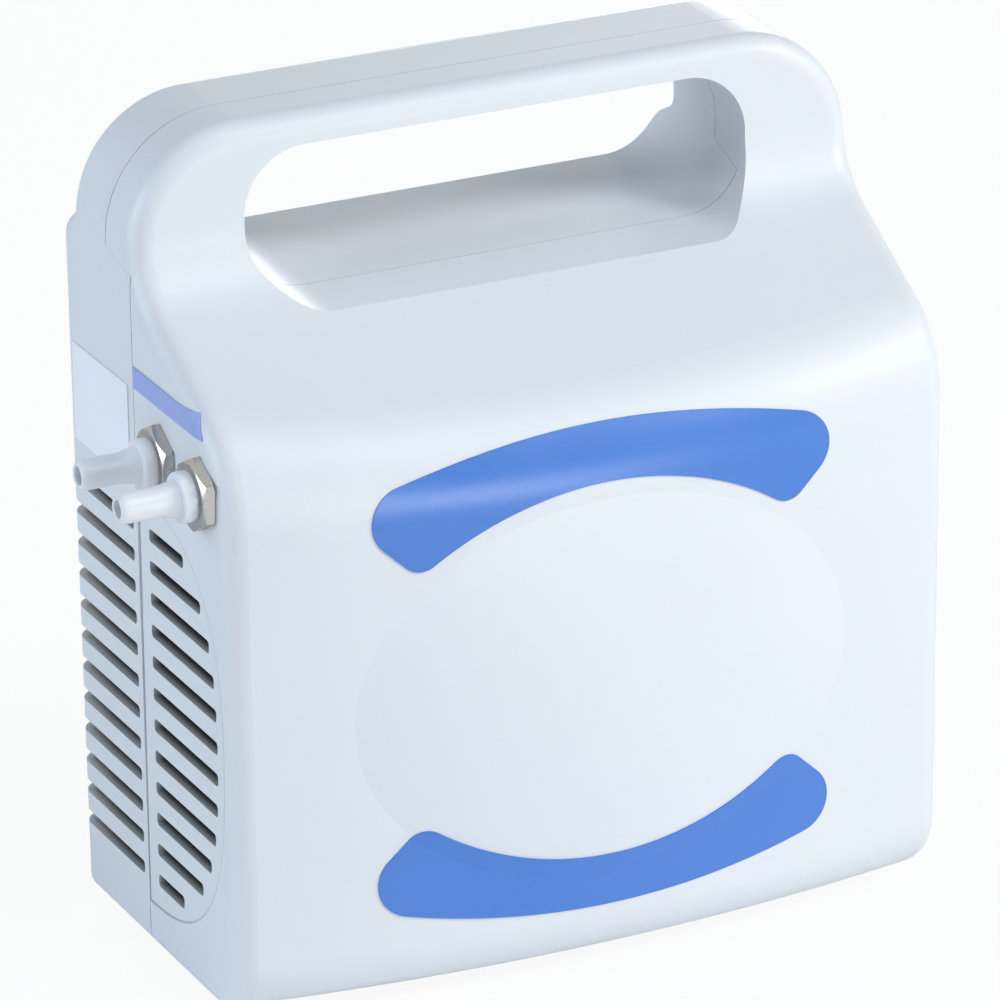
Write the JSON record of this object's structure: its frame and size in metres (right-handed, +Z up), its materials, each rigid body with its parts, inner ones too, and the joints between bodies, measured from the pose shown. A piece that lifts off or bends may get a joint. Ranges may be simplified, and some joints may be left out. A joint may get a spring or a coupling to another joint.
{
  "type": "piston vacuum pump",
  "caption": "Portable dry piston vacuum pump: bowed two-part moulded housing with loop handle, louvred sides, two hose barbs and a motor-driven rocking piston inside.",
  "frame": {"origin": "middle of the overall box on the plane the rubber feet stand on", "axes": "+X to the right of the front face, +Y to the rear, +Z up"},
  "size_m": [0.2282, 0.1192, 0.2251],
  "materials": {
    "shell_plastic": "satin",
    "screw_steel": "plated",
    "rubber": "matt",
    "label_film": "printed film, left bare",
    "stripe_film": "printed film, left bare",
    "plate_film": "printed film, left bare",
    "barb_plastic": "translucent",
    "nut_chrome": "plated",
    "fitting_brass": "turned",
    "hose_vinyl": "soft",
    "black_plastic": "moulded",
    "ground_steel": "ground",
    "lamination": "laminated",
    "cast_aluminium": "cast",
    "machined_aluminium": "machined",
    "winding_copper": "lacquered wire",
    "seal_plastic": "filled",
    "reed_steel": "polished",
    "gasket_rubber": "matt",
    "bracket_steel": "plated",
    "fan_plastic": "moulded"
  },
  "bodies": {
    "housing": {"front_shell": "shell_plastic", "rear_shell": "shell_plastic", "shell_screws": "screw_steel", "rubber_feet": "rubber", "foot_screws": "screw_steel", "upper_label": "label_film", "lower_label": "label_film", "side_stripe": "stripe_film", "rating_plate": "plate_film", "intake_barb": "barb_plastic", "exhaust_barb": "barb_plastic", "panel_nuts": "nut_chrome", "bulkhead_fittings": "fitting_brass", "intake_hose": "hose_vinyl", "exhaust_hose": "hose_vinyl", "port_elbows": "black_plastic", "mains_inlet": "black_plastic", "switch_bezel": "black_plastic", "stator_core": "lamination", "stator_windings": "winding_copper", "shaft_outer_races": "ground_steel", "crankcase": "cast_aluminium", "end_bell": "cast_aluminium", "tie_bolts": "screw_steel", "cylinder_sleeve": "machined_aluminium", "valve_plate": "machined_aluminium", "reed_screws": "screw_steel", "head_gasket": "gasket_rubber", "cylinder_head": "cast_aluminium", "head_screws": "screw_steel", "base_plate": "bracket_steel", "base_screws": "screw_steel", "isolators": "rubber", "isolator_screws": "screw_steel", "run_capacitor": "machined_aluminium", "capacitor_clip": "bracket_steel"},
    "rotor": {"motor_shaft": "ground_steel", "rotor_core": "lamination", "rotor_rings": "cast_aluminium", "shaft_inner_races": "ground_steel", "shaft_bearing_balls": "ground_steel", "eccentric": "ground_steel", "set_screw": "screw_steel", "rod_inner_race": "ground_steel", "left_fan": "fan_plastic", "right_fan": "fan_plastic"},
    "piston_rod": {"connecting_rod": "cast_aluminium", "rod_outer_race": "ground_steel", "rod_bearing_balls": "ground_steel", "cup_seal": "seal_plastic", "seal_retainer": "machined_aluminium", "retainer_screw": "screw_steel"},
    "rocker": {"switch_rocker": "black_plastic"},
    "intake_valve": {"intake_reed": "reed_steel"},
    "exhaust_valve": {"exhaust_reed": "reed_steel"}
  },
  "joints": [
    {"name": "shaft_spin", "type": "hinge", "parent": "housing", "child": "rotor", "pos_m": [0.01141, -0.00296, 0.0585], "axis": [1, 0, 0], "continuous": true},
    {"name": "rod_pivot", "type": "hinge", "parent": "rotor", "child": "piston_rod", "pos_m": [-0.0426, -0.00296, 0.0615], "axis": [1, 0, 0], "continuous": true},
    {"name": "rocker_tilt", "type": "hinge", "parent": "housing", "child": "rocker", "pos_m": [0.0894, 0.05265, 0.0685], "axis": [1, 0, 0], "range_deg": [-20, 0]},
    {"name": "intake_reed_flex", "type": "hinge", "parent": "housing", "child": "intake_valve", "pos_m": [-0.0311, -0.01396, 0.11548], "axis": [0, 1, 0], "range_deg": [-3.4, 0], "stiffness_Nm_per_rad": 0.05, "springref_deg": 1.15},
    {"name": "exhaust_reed_flex", "type": "hinge", "parent": "housing", "child": "exhaust_valve", "pos_m": [-0.0311, 0.00804, 0.11952], "axis": [0, 1, 0], "range_deg": [0, 3.4], "stiffness_Nm_per_rad": 0.05, "springref_deg": -1.15}
  ],
  "couplings": [
    {"joint": "rod_pivot", "follows": "shaft_spin", "ratio": -1}
  ]
}
